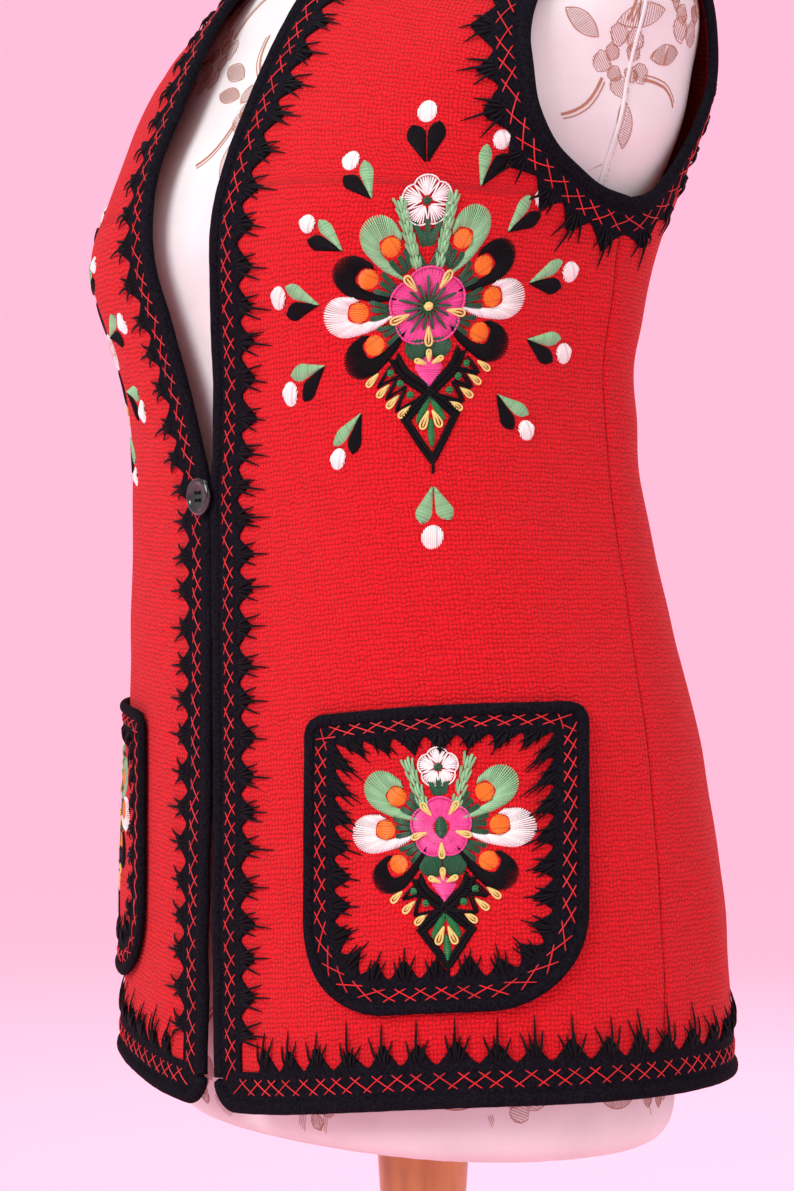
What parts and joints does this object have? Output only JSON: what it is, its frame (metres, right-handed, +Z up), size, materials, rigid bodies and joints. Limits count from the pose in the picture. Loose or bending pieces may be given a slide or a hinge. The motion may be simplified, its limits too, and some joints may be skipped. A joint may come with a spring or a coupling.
{
  "type": "embroidered vest on dress form",
  "caption": "Sleeveless folk vest of red wool with black felt borders, rolled edges, patch pockets and a button, worn by a limbless dress form on a turned wooden stand.",
  "frame": {"origin": "the middle of the underside of the stand's base", "axes": "metres, +Z up, the wearer faces -Y and the wearer's left is +X"},
  "size_m": [0.3632, 0.32, 0.96],
  "materials": {
    "red_wool": "matte",
    "black_felt": "matte",
    "black_button": "gloss",
    "printed_cover": "matte",
    "turned_wood": "satin"
  },
  "bodies": {
    "root": {"vest_back": "red_wool", "vest_front_left": "red_wool", "vest_front_right": "red_wool", "felt_front_left": "black_felt", "felt_front_right": "black_felt", "felt_hem": "black_felt", "felt_neck_back": "black_felt", "felt_armhole_left": "black_felt", "felt_armhole_right": "black_felt", "binding_front_left": "black_felt", "binding_front_right": "black_felt", "binding_hem": "black_felt", "binding_neck_back": "black_felt", "binding_armhole_left": "black_felt", "binding_armhole_right": "black_felt", "pocket_left": "red_wool", "pocket_right": "red_wool", "pocket_felt_left": "black_felt", "pocket_felt_right": "black_felt", "pocket_binding_left": "black_felt", "pocket_binding_right": "black_felt", "button": "black_button", "form_torso": "printed_cover", "stand_post": "turned_wood", "stand_base": "turned_wood"}
  },
  "joints": []
}
